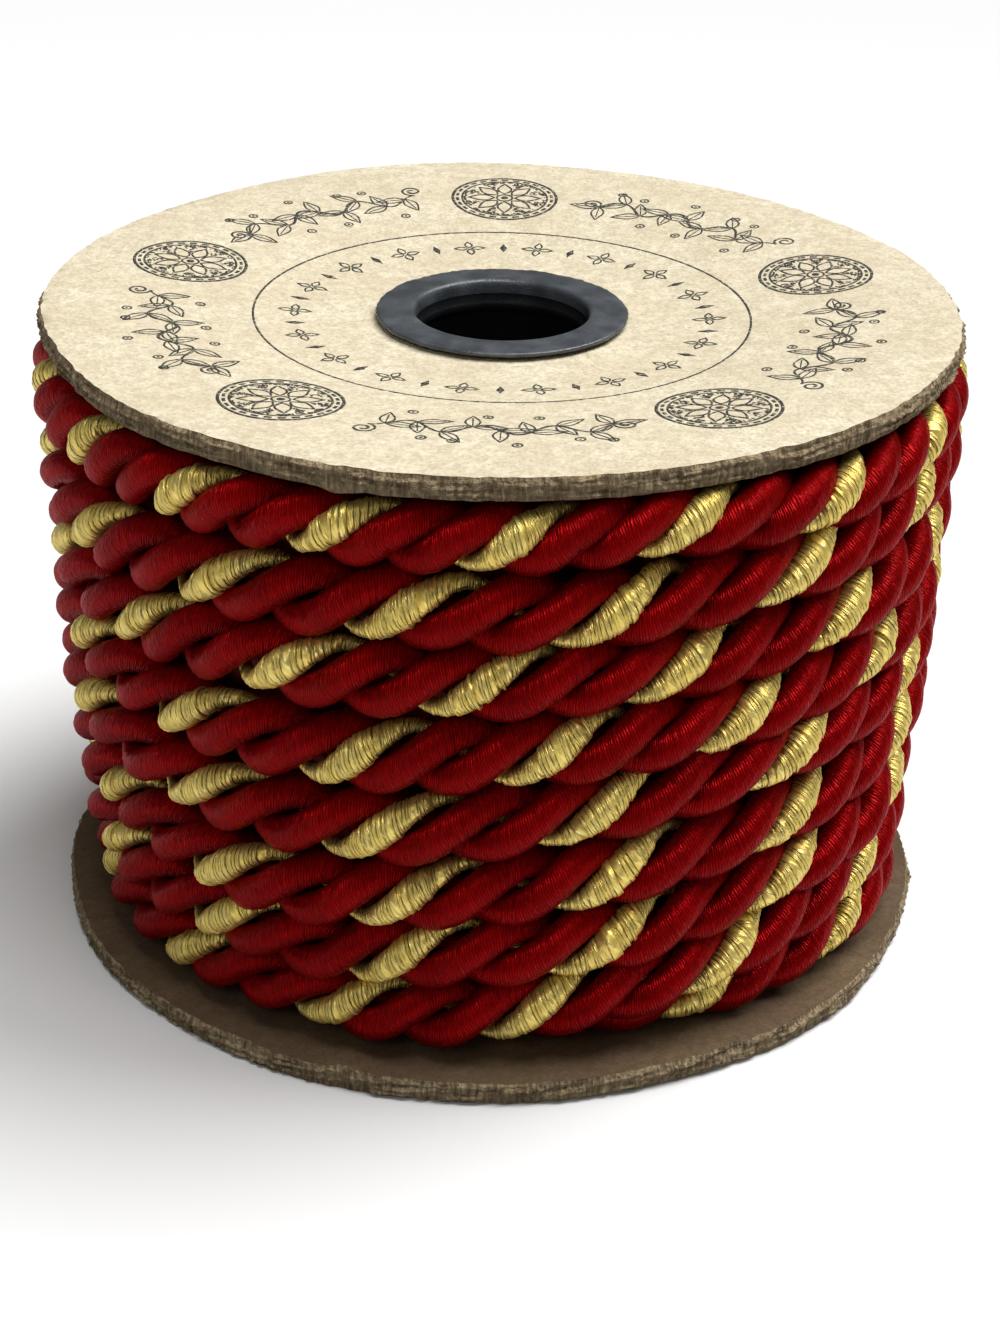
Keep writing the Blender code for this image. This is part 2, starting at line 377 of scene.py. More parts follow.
def strand_centre(lay, phase, helix):
    """A strand's axis, and the way out to it from the cord's axis: a helix, on the crown at whole lays.

    The phase is how many lays the strand is ahead of the gold one, and helix is its radius at each station.
    The helix is drawn out towards the neighbouring rows, and less so beside a board.
    """
    turn = np.interp(lay - phase, KNOT_LAYS, KNOT_TURNS)
    centre = cord_centre(turn)
    along = unit(cord_centre(turn + NEAR) - cord_centre(turn - NEAR))
    outwards = square_to(turned_points(1.0, 0.0, np.radians(START_ANGLE + 360.0 * turn)), along)
    upwards = np.cross(outwards, along)
    lead = math.tau * lay[:, None]
    room = np.where(np.sin(lead) > 0.0, WINDING_TOP - centre[:, 2:], centre[:, 2:] - WINDING_FLOOR)
    stretch = np.clip((room - BOARD_CLEARANCE - RED_RADIUS) / RED_HELIX, LEAST_STRETCH, ROW_STRETCH)
    direction = np.cos(lead) * outwards + stretch * np.sin(lead) * upwards
    return centre + helix[:, None] * direction, unit(direction)


def strand_rings(lay, phase, helix, radius, slide):
    """Rings about a strand's axis, each side with its radius and how far it slides along the strand."""
    centre, out = strand_centre(lay, phase, helix)
    before, _ = strand_centre(lay - NEAR, phase, helix)
    after, _ = strand_centre(lay + NEAR, phase, helix)
    along = unit(after - before)
    out = square_to(out, along)
    side = np.cross(along, out)
    cosine, sine = side_directions()
    ring = cosine[None, :, None] * out[:, None, :] + sine[None, :, None] * side[:, None, :]
    return centre[:, None, :] + radius[:, :, None] * ring + slide[:, :, None] * along[:, None, :]


def side_directions():
    """Cosine and sine of each side's angle from the way in, backwards so that the faces point outwards."""
    turned = math.pi - ring_angles(STRAND_SIDES)
    return np.cos(turned), np.sin(turned)


def lays_between(first, last, seen_steps):
    """Stations along a strand, in lays: close together where it shows, far apart where it lies inside."""
    seen = np.linspace(-SEEN, SEEN, seen_steps, endpoint=False)
    hidden = np.linspace(SEEN, 1.0 - SEEN, HIDDEN_STEPS, endpoint=False)
    whole = np.arange(math.floor(first), math.ceil(last) + 1)
    stations = (whole[:, None] + np.concatenate([seen, hidden])[None, :]).ravel()
    return stations[(stations >= first) & (stations <= last)]


def red_strand(name, phase, seed, material):
    """A smooth strand of fine yarn, its radius a little uneven along it and round it."""
    first = KNOT_LAYS[0] + phase + END_LAYS
    last = KNOT_LAYS[-1] + phase - END_LAYS
    seen_steps = round(2.0 * SEEN * LAY_LENGTH / RED_STEP)
    lay = lays_between(first, last, seen_steps)
    uneven = ripples(lay[:, None] * RIPPLE_A_LAY, RED_RIPPLES, seed, ring_angles(STRAND_SIDES))
    radius = RED_RADIUS * (1.0 + RED_UNEVEN * uneven)
    rings = strand_rings(lay, phase, RED_HELIX + 0.0 * lay, radius, 0.0 * radius)
    strand_piece(name, rings, lay * LAY_LENGTH * MILLIMETRES, RED_RADIUS, material)


def wrap_stations(first, last, seed):
    """Stations of the gold strand's wraps, a row for each: lay, count along it, radius and the two leans.

    A wrap has a ring in its groove and two on its shoulders. Inside the cord only one ring in a few is kept.
    """
    draw = np.random.default_rng(seed)
    mean_width = WRAP_NARROW + 0.5 * WRAP_SPREAD
    count = int((last - first) * LAY_LENGTH / mean_width) + 1
    widths = WRAP_NARROW + WRAP_SPREAD * draw.random(count)
    widths = widths + np.where(draw.random(count) < WRAP_WIDE_SHARE, WRAP_WIDE * draw.random(count), 0.0)
    starts = first + np.concatenate([[0.0], np.cumsum(widths)[:-1]]) / LAY_LENGTH
    shoulder = np.minimum(WRAP_SHOULDER, WRAP_MAP[1] * widths)
    offsets = joined(0.0 * widths, shoulder, widths - shoulder)
    lay = starts[:, None] + offsets / LAY_LENGTH
    number = np.arange(count)[:, None] + np.array(WRAP_MAP)[None, :]
    crown = 1.0 + WRAP_UNEVEN * draw.normal(size=(count, 1)) * np.ones((1, len(WRAP_MAP)))
    crown[:, 0] -= WRAP_GROOVE * draw.random(count) ** WRAP_GROOVE_POWER
    leans = WRAP_LEAN_UNEVEN * draw.normal(size=(2, count))
    leans = np.stack([np.convolve(row, WRAP_LEAN_BLEND, "same") for row in leans])
    leans[0] += WRAP_LEAN
    leans = np.repeat(leans, len(WRAP_MAP), axis=1)
    stations = joined(lay.ravel(), number.ravel(), crown.ravel(), *leans)
    from_crown = np.abs(stations[:, 0] - np.round(stations[:, 0]))
    spared = np.arange(len(stations)) % HIDDEN_RINGS == 0
    return stations[(stations[:, 0] <= last) & ((from_crown < SEEN) | spared)].T


def gold_strand(name, first, last, seed, material):
    """A strand wrapped across with flat metal thread: full on the crown, and thin where it goes inside."""
    lay, number, crown, lean_side, lean_out = wrap_stations(first, last, seed)
    uneven = ripples(lay[:, None] * RIPPLE_A_LAY, GOLD_RIPPLES, seed + 1, ring_angles(STRAND_SIDES))
    from_crown = 360.0 * (lay - np.round(lay))
    girth = GOLD_TIP + (1.0 - GOLD_TIP) * np.exp(-((from_crown - GOLD_BELLY_AT) / GOLD_BELLY) ** 2)
    radius = GOLD_RADIUS * girth[:, None] * (crown[:, None] + 0.5 * WRAP_UNEVEN * uneven)
    cosine, sine = side_directions()
    slide = lean_side[:, None] * sine[None, :] + lean_out[:, None] * cosine[None, :]
    helix = GOLD_HELIX + GOLD_TIP_RISE * GOLD_RADIUS * (1.0 - girth)
    rings = strand_rings(lay, 0.0, helix, radius, slide)
    strand_piece(name, rings, number, GOLD_RADIUS, material)


# Inner turns, seen only through the gaps between the rows
INNER_ROWS = 96
INNER_COLUMNS = 252
INNER_DEPTH = 0.0072
INNER_CREST = 0.0030
INNER_CREST_POWER = 0.7
INNER_STRAND = 0.0009
INNER_LAYS = 36


def inner_turns(material):
    """The layer under the outer one: a rope relief whose rows lie in the valleys of the rows outside it."""
    angles = ring_angles(INNER_COLUMNS)
    height = np.linspace(WINDING_TOP, WINDING_FLOOR, INNER_ROWS)[:, None]
    pitch = (WINDING_TOP - WINDING_FLOOR) / (FULL_ROWS + 1)
    row = (height - WINDING_FLOOR) / pitch - (angles - math.radians(START_ANGLE)) / math.tau
    crest = np.abs(np.cos(np.pi * row)) ** INNER_CREST_POWER
    strand = np.abs(np.sin(np.pi * (row - INNER_LAYS * angles / math.tau)))
    radius = cord_axis_radius(height, np.degrees(angles)) - INNER_DEPTH
    radius = radius + INNER_CREST * crest + INNER_STRAND * strand
    wall = turned_points(radius, height, angles)
    levels = np.array([[WINDING_FLOOR + DISH_DEPTH], [WINDING_TOP - DISH_DEPTH]])
    sleeve = turned_points(SLEEVE_RADIUS + GAP, levels, angles)
    ring_piece("inner_turns", np.concatenate([wall, sleeve]), [material], "cord_roll")


# Boards
BOARD_COLUMNS = 720
LOWER_BOARD_COLUMNS = 540
FACE_STATIONS = 36
EDGE_STATIONS = 13
INNER_STATIONS = 12
EDGE_ROUND = 0.00032
EDGE_ROUGH = 0.00014
LAYERS_A_METRE = 9000.0
GRAINS_A_METRE = 4000.0
GRAIN_SHARE = 0.8
LIP_FROM = 0.55
BOARD_SHARP = 55.0
UPPER_BOARD_SEED = 31
LOWER_BOARD_SEED = 47
OUTLINE_WAVE = 0.00022
FRAY_WAVE = 0.35 * OUTLINE_WAVE
RIM_WAVE = 0.00020
FACE_GRAIN = 0.000012
CREASES = (
    # angle, radius as a part of the flange's, length, width, depth
    (26.0, 0.40, 0.0045, 0.0012, 0.00016),
    (11.0, 0.43, 0.0040, 0.0010, 0.00013),
    (205.0, 0.86, 0.0050, 0.0016, 0.00010),
)
NICKS = (
    # angle, width in degrees, how far the edge is worn back, how far its lower lip hangs
    (238.0, 3.2, 0.00038, 0.00010),
    (252.5, 2.0, 0.00020, 0.00060),
    (303.0, 1.6, 0.00042, 0.00012),
    (315.0, 4.0, 0.00030, 0.00020),
    (28.0, 2.6, 0.00035, 0.00015),
    (122.0, 3.4, 0.00030, 0.00025),
)


def face_height(radius, angles, seed):
    """Height of the upper board's face: the dish, waves that grow outwards, the grain and the creases."""
    share = np.clip(radius / FLANGE_RADIUS, 0.0, 1.0)
    height = ROLL_HEIGHT - dish_at(radius) + RIM_WAVE * ripples(angles, RIM_RIPPLES, seed) * share ** 3
    height = height + FACE_GRAIN * ripples(angles, FACE_RIPPLES, seed + 1, radius * MILLIMETRES)
    for place, part, length, width, depth in CREASES:
        turned = np.radians(place)
        along = radius * np.sin(angles - turned)
        across = radius * np.cos(angles - turned) - part * FLANGE_RADIUS
        height = height - depth * np.exp(-(along / length) ** 2 - (across / width) ** 2)
    return height


def board_points(columns, seed):
    """Stations of the upper board's section by angle: its face, its worn and layered edge, its inner face."""
    angles = ring_angles(columns)
    worn = 0.0
    hang = 0.0
    for place, width, back, lip in NICKS:
        near = np.exp(-(degrees_from(angles, place) / width) ** 2)
        worn = worn + back * near
        hang = hang + lip * near
    rim = FLANGE_RADIUS + OUTLINE_WAVE * ripples(angles, OUTLINE_RIPPLES, seed + 2)
    rim = rim + FRAY_WAVE * ripples(angles, FRAY_RIPPLES, seed + 3)
    hole = SLEEVE_RADIUS + GAP

    share = np.linspace(0.0, 1.0, FACE_STATIONS)[:, None]
    face_radius = hole + (rim - EDGE_ROUND - 0.5 * worn - hole) * share
    face = turned_points(face_radius, face_height(face_radius, angles, seed), angles)

    # Round the edge from the face to the inner face, pushed in and out by the layers of the board
    quarter = np.linspace(0.0, 1.0, EDGE_STATIONS)[1:-1, None]
    level = EDGE_ROUND + (BOARD - 2.0 * EDGE_ROUND) * quarter
    layers = ripples(angles, LAYER_RIPPLES, seed + 4, level * LAYERS_A_METRE)
    grains = ripples(angles, GRAIN_RIPPLES, seed + 5, level * GRAINS_A_METRE)
    lip = ease((quarter - LIP_FROM) / (1.0 - LIP_FROM))
    bevel = EDGE_ROUND * (np.abs(2.0 * quarter - 1.0) ** 6)
    rough = EDGE_ROUGH * (layers + GRAIN_SHARE * grains)
    edge_radius = rim - bevel - worn * (0.5 + 0.5 * quarter) + rough
    edge_height = face_height(FLANGE_RADIUS, angles, seed) - level - hang * lip
    edge = turned_points(edge_radius, edge_height, angles)

    share = np.linspace(1.0, 0.0, INNER_STATIONS)[:, None]
    inner_radius = hole + (rim - EDGE_ROUND - worn - hole) * share
    inner_height = face_height(inner_radius, angles, seed) - BOARD - hang * (share == 1.0)
    inner = turned_points(inner_radius, inner_height, angles)
    return np.concatenate([face, edge, inner])


def turned_over(points, row_materials):
    """The same piece for the other end of the roll: its heights mirrored, and its stations read backwards."""
    flipped = points[::-1].copy()
    flipped[..., 2] = ROLL_HEIGHT - flipped[..., 2]
    return flipped, np.append(row_materials[-2::-1], row_materials[-1])


def boards(materials):
    """The two boards, each with its face, its edge and its inner face in materials of their own. The inner
    face's colours are painted shade, much darker than the face.
    """
    row_materials = np.repeat([0, 1, 2], [FACE_STATIONS - 1, EDGE_STATIONS - 1, INNER_STATIONS])
    upper = board_points(BOARD_COLUMNS, UPPER_BOARD_SEED)
    ring_piece("board_top", upper, materials, "flange_top", row_materials, BOARD_SHARP)
    lower, row_materials = turned_over(board_points(LOWER_BOARD_COLUMNS, LOWER_BOARD_SEED), row_materials)
    lower[..., 2] = np.maximum(lower[..., 2], 0.0)
    ring_piece("board_bottom", lower, materials, "flange_bottom", row_materials, BOARD_SHARP)


# Hub
HUB_COLUMNS = 160
HUB_RAGGED = 0.00003
HUB_SINK = 0.00030
HUB_SUNK_ABOVE = 0.0005
HUB_SHARP = 50.0
UPPER_HUB_SEED = 61
LOWER_HUB_SEED = 71
HUB_SECTION = (
    # radius and height above the board, in millimetres, down the outer side and up the bore
    (12.55, 1.56),
    (12.90, 1.66),
    (14.20, 1.62),
    (16.60, 1.57),
    (17.15, 1.55),
    (17.42, 1.50),
    (17.58, 1.36),
    (17.60, 1.16),
    (17.48, 0.98),
    (16.80, 0.80),
    (15.20, 0.34),
    (13.40, 0.30),
    (13.40, -42.0),
    (12.10, -42.0),
    (12.05, -3.40),
    (11.95, -3.20),
    (11.80, -3.05),
    (11.80, -2.20),
    (11.86, -1.90),
    (12.02, -1.75),
    (12.06, -0.60),
    (12.10, 0.80),
    (12.20, 1.20),
    (12.34, 1.42),
)
HUB_LIP_ROWS = slice(4, 7)
HUB_EDGE_ROWS = slice(4, 9)
HUB_BORE_ROWS = slice(13, 20)
HUB_BORE_WITHIN = 0.0127
HUB_BORE_ABOVE = -0.004
SEAM_ANGLE = 103.0
SEAM_WIDTH = 1.6
SEAM_STEP = 0.00022


def hub_points(seed):
    """A lathed section, its rim a little ragged and its bore stepped at the mould's seam."""
    section = np.array(HUB_SECTION) / MILLIMETRES
    angles = ring_angles(HUB_COLUMNS)
    radius = section[:, :1] + 0.0 * angles
    seat = ROLL_HEIGHT - DISH_DEPTH - HUB_SINK * (section[:, 1:] > HUB_SUNK_ABOVE)
    height = section[:, 1:] + seat + 0.0 * angles
    ragged = HUB_RAGGED * (ripples(angles, HUB_RIPPLES, seed) + ripples(angles, HUB_FINE_RIPPLES, seed + 1))
    radius[HUB_EDGE_ROWS] += ragged
    height[HUB_LIP_ROWS] += 0.5 * ragged
    seam = SEAM_STEP * np.exp(-(degrees_from(angles, SEAM_ANGLE) / SEAM_WIDTH) ** 2)
    in_bore = (section[:, :1] < HUB_BORE_WITHIN) & (section[:, 1:] > HUB_BORE_ABOVE)
    return turned_points(radius + np.where(in_bore, seam, 0.0), height, angles)


def hubs(materials):
    """The two sleeves, the wall of the bore in a darker, duller black: its colour is painted shade for the
    dark inside the bore.
    """
    row_materials = np.zeros(len(HUB_SECTION), int)
    row_materials[HUB_BORE_ROWS] = 1
    upper = hub_points(UPPER_HUB_SEED)
    ring_piece("hub_sleeve_top", upper, materials, "hub_upper", row_materials, HUB_SHARP)
    lower, row_materials = turned_over(hub_points(LOWER_HUB_SEED), row_materials)
    ring_piece("hub_sleeve_bottom", lower, materials, "hub_lower", row_materials, HUB_SHARP)


# Printed ornament: thin closed shapes on the upper board's face
INK_ABOVE = 0.000045
INK_BELOW = 0.00006
LINE = 0.00022
THIN_LINE = 0.7 * LINE
LEAF_LINE = 0.62 * LINE
PETAL_LINE = 0.6 * LINE
VEIN_LINE = 0.4 * LINE
CURL_LINE = 0.8 * LINE
RING_CORNERS = 240
ROUND_CORNERS = 72
LEAF_POWERS = (0.8, 1.15)

# Ring at the hub: a ruled line round florets and diamonds by turns
RULED_RING = 0.545 * FLANGE_RADIUS
BEAD_RING = 0.455 * FLANGE_RADIUS
BEADS = 36
FLORET_PETALS = 4
FLORET_PETAL = (0.00205, 0.00105)
FLORET_HEART = 0.00028
DIAMOND = ((-0.00150, 0.0), (0.0, -0.00055), (0.00150, 0.0), (0.0, 0.00055))

# Medallions, their rings as radii about the middle
ORNAMENT_RADIUS = 0.745 * FLANGE_RADIUS
MEDALLIONS = 5
FIRST_MEDALLION = 234.0
FIRST_MEDALLION_SEED = 80
MEDALLION_RADIUS = 0.0080
BORDER_RING = 0.82 * MEDALLION_RADIUS
DASH_RING = 0.91 * MEDALLION_RADIUS
DASHES = 26
DASH = ((-0.00022, -0.00052), (0.00022, -0.00052), (0.00022, 0.00052), (-0.00022, 0.00052))
PETALS = 8
PETAL_FROM = 0.20 * MEDALLION_RADIUS
PETAL = (0.50 * MEDALLION_RADIUS, 0.0021)
HEART_RING = 0.15 * MEDALLION_RADIUS
HEART = 0.07 * MEDALLION_RADIUS
FLECKS = 1150
FLECK = (
    (-0.00026, -0.00008), (0.00004, -0.00013), (0.00027, 0.00002), (0.00006, 0.00014), (-0.00018, 0.00010))
FLECK_SIZES = (0.6, 1.25)
FLECKS_FROM = 0.23 * MEDALLION_RADIUS
FLECKS_TO = 0.79 * MEDALLION_RADIUS
BARE_LENGTH = (-0.0004, 0.54 * MEDALLION_RADIUS)
BARE_HALF_WIDTH = 0.00135

# Sprays: a stem with two leaves at every tenth point from the fifth, and a bud at every tenth from the tenth
STEM_POINTS = 90
STEM_WAVE = 0.0017
STEM_BENDS = 3.5
STEM_LINES = (1.15, 0.55)
SPRAY_SPAN = 19.5
PICK_EVERY = 10
LAST_PICK = 86
LEAF = (0.0046, 0.0019)
LEAF_TURNS = (0.95, -0.75)
VEIN_LENGTH = 0.8
BUD_OUT = 0.0041
BUD_RADIUS = 0.00062
BUD_HEART = 0.00022
CURL_POINTS = 40
CURL_RADIUS = 0.0017
CURL_SHRINK = 0.8
CURL_TURNS = 1.6


class Print:
    """Collects thin closed prisms whose tops follow the board's face."""

    def __init__(self):
        self.vertices = []
        self.faces = []
        self.count = 0

    def add(self, points, faces):
        self.vertices.append(points)
        self.faces += [[index + self.count for index in face] for face in faces]
        self.count += len(points)

    def shapes(self, outlines):
        """Filled shapes from an array (shapes, corners, 2), each running anticlockwise."""
        corners = outlines.shape[1]
        top = on_face(outlines, INK_ABOVE)
        bottom = on_face(outlines, -INK_BELOW)
        side = np.arange(corners)
        next_side = (side + 1) % corners
        walls = joined(side, side + corners, next_side + corners, next_side)
        faces = [list(range(corners)), list(range(2 * corners - 1, corners - 1, -1)), *walls.tolist()]
        for shape in np.concatenate([top, bottom], axis=1):
            self.add(shape, faces)

    def line(self, path, half_width, closed):
        """A drawn line along a path of (x, y) points, its half width a number or one for each point."""
        if closed:
            step = np.roll(path, -1, axis=0) - np.roll(path, 1, axis=0)
        else:
            step = np.gradient(path, axis=0)
        step = unit(step)
        left = joined(-step[:, 1], step[:, 0])
        half = np.broadcast_to(np.asarray(half_width, float), (len(path),))[:, None]
        left_side = path + half * left
        right_side = path - half * left
        corners = np.stack([
            on_face(left_side, INK_ABOVE),
            on_face(left_side, -INK_BELOW),
            on_face(right_side, -INK_BELOW),
            on_face(right_side, INK_ABOVE),
        ], axis=1)
        faces = grid_quads(len(path), 4, closed).tolist()
        if not closed:
            last = 4 * (len(path) - 1)
            faces += [[0, 1, 2, 3], [last + 3, last + 2, last + 1, last]]
        self.add(corners.reshape(-1, 3), faces)


def on_face(points, above):
    """Points (x, y) set at a height above the upper board's face."""
    radius = np.hypot(points[..., 0], points[..., 1])
    angles = np.arctan2(points[..., 1], points[..., 0])
    height = face_height(radius, angles, UPPER_BOARD_SEED) + above
    return np.concatenate([points, height[..., None]], axis=-1)


def polar(radius, turned):
    """Points (x, y) at a radius and an angle in radians."""
    return joined(radius * np.cos(turned), radius * np.sin(turned))


def circle(radius, corners):
    """A round of points about the origin."""
    return polar(radius, ring_angles(corners))


def leaf(size, corners):
    """A leaf along +x from the origin, pointed at its tip: its half width is a sine raised to a power."""
    length, width = size
    along = np.linspace(0.0, 1.0, corners // 2 + 1)
    half = 0.5 * width * np.sin(np.pi * along ** LEAF_POWERS[0]) ** LEAF_POWERS[1]
    lower = joined(length * along, -half)
    upper = joined(length * along, half)
    return np.concatenate([lower, upper[-2:0:-1]])


def placed(shape, places, turns, size=1.0):
    """Copies of a shape, sized, turned by angles in radians and moved to places: (copies, corners, 2)."""
    x, y = np.array(shape).T
    cosine = size * np.cos(turns)
    sine = size * np.sin(turns)
    across = np.outer(cosine, x) - np.outer(sine, y)
    upwards = np.outer(sine, x) + np.outer(cosine, y)
    return joined(across, upwards) + places[:, None, :]


def medallion(ink, centre, turned, seed):
    """A stippled round with a border of dashes and a bare flower of eight petals drawn in outline."""
    draw = np.random.default_rng(seed)
    ink.line(centre + circle(MEDALLION_RADIUS, ROUND_CORNERS), LINE, True)
    ink.line(centre + circle(BORDER_RING, ROUND_CORNERS), THIN_LINE, True)
    angles = ring_angles(DASHES) + turned
    ink.shapes(placed(DASH, centre + polar(DASH_RING, angles), angles))

    # Petals in outline round a small ring
    angles = ring_angles(PETALS) + turned
    for outline in placed(leaf(PETAL, 22), centre + polar(PETAL_FROM, angles), angles):
        ink.line(outline, THIN_LINE, True)
    ink.line(centre + circle(HEART_RING, 24), THIN_LINE, True)
    ink.shapes(centre + circle(HEART, 10)[None])

    # Flecks on the ground between the petals
    spread = FLECKS_TO * np.sqrt(draw.random(FLECKS))
    around = math.tau * draw.random(FLECKS)
    petal_turn = (around - turned + math.pi / PETALS) % (math.tau / PETALS) - math.pi / PETALS
    along = spread * np.cos(petal_turn) - PETAL_FROM
    aside = np.abs(spread * np.sin(petal_turn))
    inside = (along > BARE_LENGTH[0]) & (along < BARE_LENGTH[1]) & (aside < BARE_HALF_WIDTH)
    free = ~inside & (spread > FLECKS_FROM)
    places = centre + polar(spread[free], around[free])
    size = draw.uniform(*FLECK_SIZES, len(places))
    ink.shapes(placed(FLECK, places, draw.uniform(0.0, math.tau, len(places)), size))


def spray(ink, middle):
    """A wavy stem along the board with leaves on both sides, buds at its bends and a curl at each end."""
    degrees = np.linspace(middle - SPRAY_SPAN, middle + SPRAY_SPAN, STEM_POINTS)
    share = np.linspace(-1.0, 1.0, STEM_POINTS)
    wave = STEM_WAVE * np.sin(STEM_BENDS * np.pi * share)
    stem = polar(ORNAMENT_RADIUS + wave, np.radians(degrees))
    ink.line(stem, LINE * (STEM_LINES[0] - STEM_LINES[1] * np.abs(share)), False)
    picks = np.arange(PICK_EVERY // 2, LAST_PICK, PICK_EVERY)
    step = unit(np.gradient(stem, axis=0))[picks]
    heading = np.arctan2(step[:, 1], step[:, 0])
    for turned in LEAF_TURNS:
        for outline in placed(leaf(LEAF, 18), stem[picks], heading + turned):
            ink.line(outline, LEAF_LINE, True)
            tip = outline[len(outline) // 2]
            vein = outline[0] + np.linspace(0.0, VEIN_LENGTH, 5)[:, None] * (tip - outline[0])
            ink.line(vein, VEIN_LINE, False)
    picks = np.arange(PICK_EVERY, LAST_PICK, PICK_EVERY)
    out = np.sign(wave[picks])[:, None]
    for place in stem[picks] + BUD_OUT * out * unit(stem[picks]):
        ink.line(place + circle(BUD_RADIUS, 14), PETAL_LINE, True)
        ink.shapes(place + circle(BUD_HEART, 8)[None])
    for end, way in ((stem[0], -1.0), (stem[-1], 1.0)):
        turns = np.linspace(0.0, CURL_TURNS * math.tau, CURL_POINTS)
        radius = CURL_RADIUS * (1.0 - CURL_SHRINK * turns / turns[-1])
        base = math.atan2(end[1], end[0]) + math.pi
        ink.line(end + CURL_RADIUS * unit(end) + polar(radius, base + way * turns), CURL_LINE, False)


def printed_ornament(material):
    """A ruled ring round small florets at the hub, and five medallions with leafy sprays between them."""
    ink = Print()
    ink.line(circle(RULED_RING, RING_CORNERS), THIN_LINE, True)
    turned = ring_angles(BEADS)
    places = polar(BEAD_RING, turned)
    for petal in ring_angles(FLORET_PETALS):
        heading = turned[::2] + petal
        for outline in placed(leaf(FLORET_PETAL, 12), places[::2] + polar(FLORET_HEART, heading), heading):
            ink.line(outline, PETAL_LINE, True)
    ink.shapes(placed(DIAMOND, places[1::2], turned[1::2]))
    for index in range(MEDALLIONS):
        place = FIRST_MEDALLION + 360.0 * index / MEDALLIONS
        turned = math.radians(place)
        medallion(ink, polar(ORNAMENT_RADIUS, turned), turned, FIRST_MEDALLION_SEED + index)
        spray(ink, place + 180.0 / MEDALLIONS)
    new_piece("printed_ornament", np.concatenate(ink.vertices), ink.faces, [material], [])


# Materials. A board's colours are two tones of its clouds, its fibres and its flecks
# Red yarn: the hollow tones are painted shade between the threads, and the lit tones are painted light on the
# threads' tops
RED_HOLLOW_SHADE = ((0.14, 0.0002, 0.0005), (0.19, 0.0004, 0.0008))
RED_LIT = ((0.42, 0.0012, 0.0022), (0.54, 0.0020, 0.0034))
RED_GLOSS = (1.0, 0.15, 0.18)
INNER_REDS = ((0.13, 0.0010, 0.0018), (0.25, 0.0020, 0.0035))
GOLD_WARM = ((0.98, 0.77, 0.21), (1.0, 0.92, 0.42))
# Painted shade for the hollows between the gold's finer threads
GOLD_HOLLOW_SHADE = (0.88, 0.66, 0.15)
GOLD_LINE = (0.070, 0.045, 0.009)
FACE_COLOURS = ((0.715, 0.625, 0.445), (0.800, 0.720, 0.540), (0.48, 0.405, 0.270), (0.36, 0.28, 0.16))
# Inner faces of the boards: a browner kraft, darkened well below the face as painted shade for the shadow on
# the ledge under the roll
INSIDE_SHADE_COLOURS = (
    (0.118, 0.073, 0.036), (0.156, 0.100, 0.051), (0.082, 0.050, 0.023), (0.055, 0.034, 0.016))
EDGE_COLOURS = ((0.105, 0.068, 0.031), (0.225, 0.155, 0.079), (0.56, 0.435, 0.26))
INK_COLOURS = ((0.030, 0.031, 0.027), (0.52, 0.45, 0.31))
RIM_COLOURS = ((0.040, 0.045, 0.051), (0.084, 0.094, 0.105))
RIM_GLOSS = 0.62
# The bore's wall: the same black plastic, painted darker as shade inside the bore
BORE_SHADE_COLOURS = ((0.008, 0.009, 0.010), (0.012, 0.012, 0.013))
BORE_GLOSS = 0.12


def add_node(tree, kind, inputs=None, **settings):
    """A shader node with its settings, each named input set to a value or linked to another node's socket."""
    made = tree.nodes.new(kind)
    for key, value in settings.items():
        setattr(made, key, value)
    for key, value in (inputs or {}).items():
        if isinstance(value, bpy.types.NodeSocket):
            tree.links.new(value, made.inputs[key])
        else:
            made.inputs[key].default_value = value
    return made


def calculate(tree, operation, first, second=0.0, third=0.0):
    """The result of a maths node."""
    made = add_node(tree, "ShaderNodeMath", {0: first, 1: second, 2: third}, operation=operation)
    return made.outputs[0]


def spread_value(tree, value, low, high, to_low=0.0, to_high=1.0):
    """A value taken from one range to another, and held there."""
    inputs = {"Value": value, "From Min": low, "From Max": high, "To Min": to_low, "To Max": to_high}
    return add_node(tree, "ShaderNodeMapRange", inputs).outputs["Result"]


def mix_colour(tree, share, first, second):
    """One colour turned into another by a share. A colour is a socket, or its red, green and blue."""
    ends = [end if isinstance(end, bpy.types.NodeSocket) else (*end, 1.0) for end in (first, second)]
    return add_node(tree, "ShaderNodeMix", {0: share, 6: ends[0], 7: ends[1]}, data_type="RGBA").outputs[2]


def start_group(name, inputs, outputs):
    """A node group with float or vector inputs, each with its default, and float outputs."""
    tree = bpy.data.node_groups.new(name, "ShaderNodeTree")
    for key, default in inputs.items():
        kind = "NodeSocketVector" if default is None else "NodeSocketFloat"
        socket = tree.interface.new_socket(name=key, in_out="INPUT", socket_type=kind)
        if default is not None:
            socket.default_value = default
    for key in outputs:
        tree.interface.new_socket(name=key, in_out="OUTPUT", socket_type="NodeSocketFloat")
    return tree, tree.nodes.new("NodeGroupInput").outputs, tree.nodes.new("NodeGroupOutput").inputs


def mottle_group():
    """Cloudy unevenness: noise on a stretched position, spread between two levels."""
    tree, given, result = start_group("mottle", {
        "Vector": None, "Scale": 100.0, "Stretch": 1.0, "Detail": 3.0, "Low": 0.35, "High": 0.65}, ["Mask"])
    stretch = add_node(tree, "ShaderNodeCombineXYZ", {0: 1.0, 1: 1.0, 2: given["Stretch"]}).outputs[0]
    place = add_node(tree, "ShaderNodeVectorMath", {0: given["Vector"], 1: stretch}, operation="MULTIPLY")
    noise = add_node(tree, "ShaderNodeTexNoise", {
        "Vector": place.outputs[0], "Scale": given["Scale"], "Detail": given["Detail"]})
    tree.links.new(spread_value(tree, noise.outputs[0], given["Low"], given["High"]), result["Mask"])


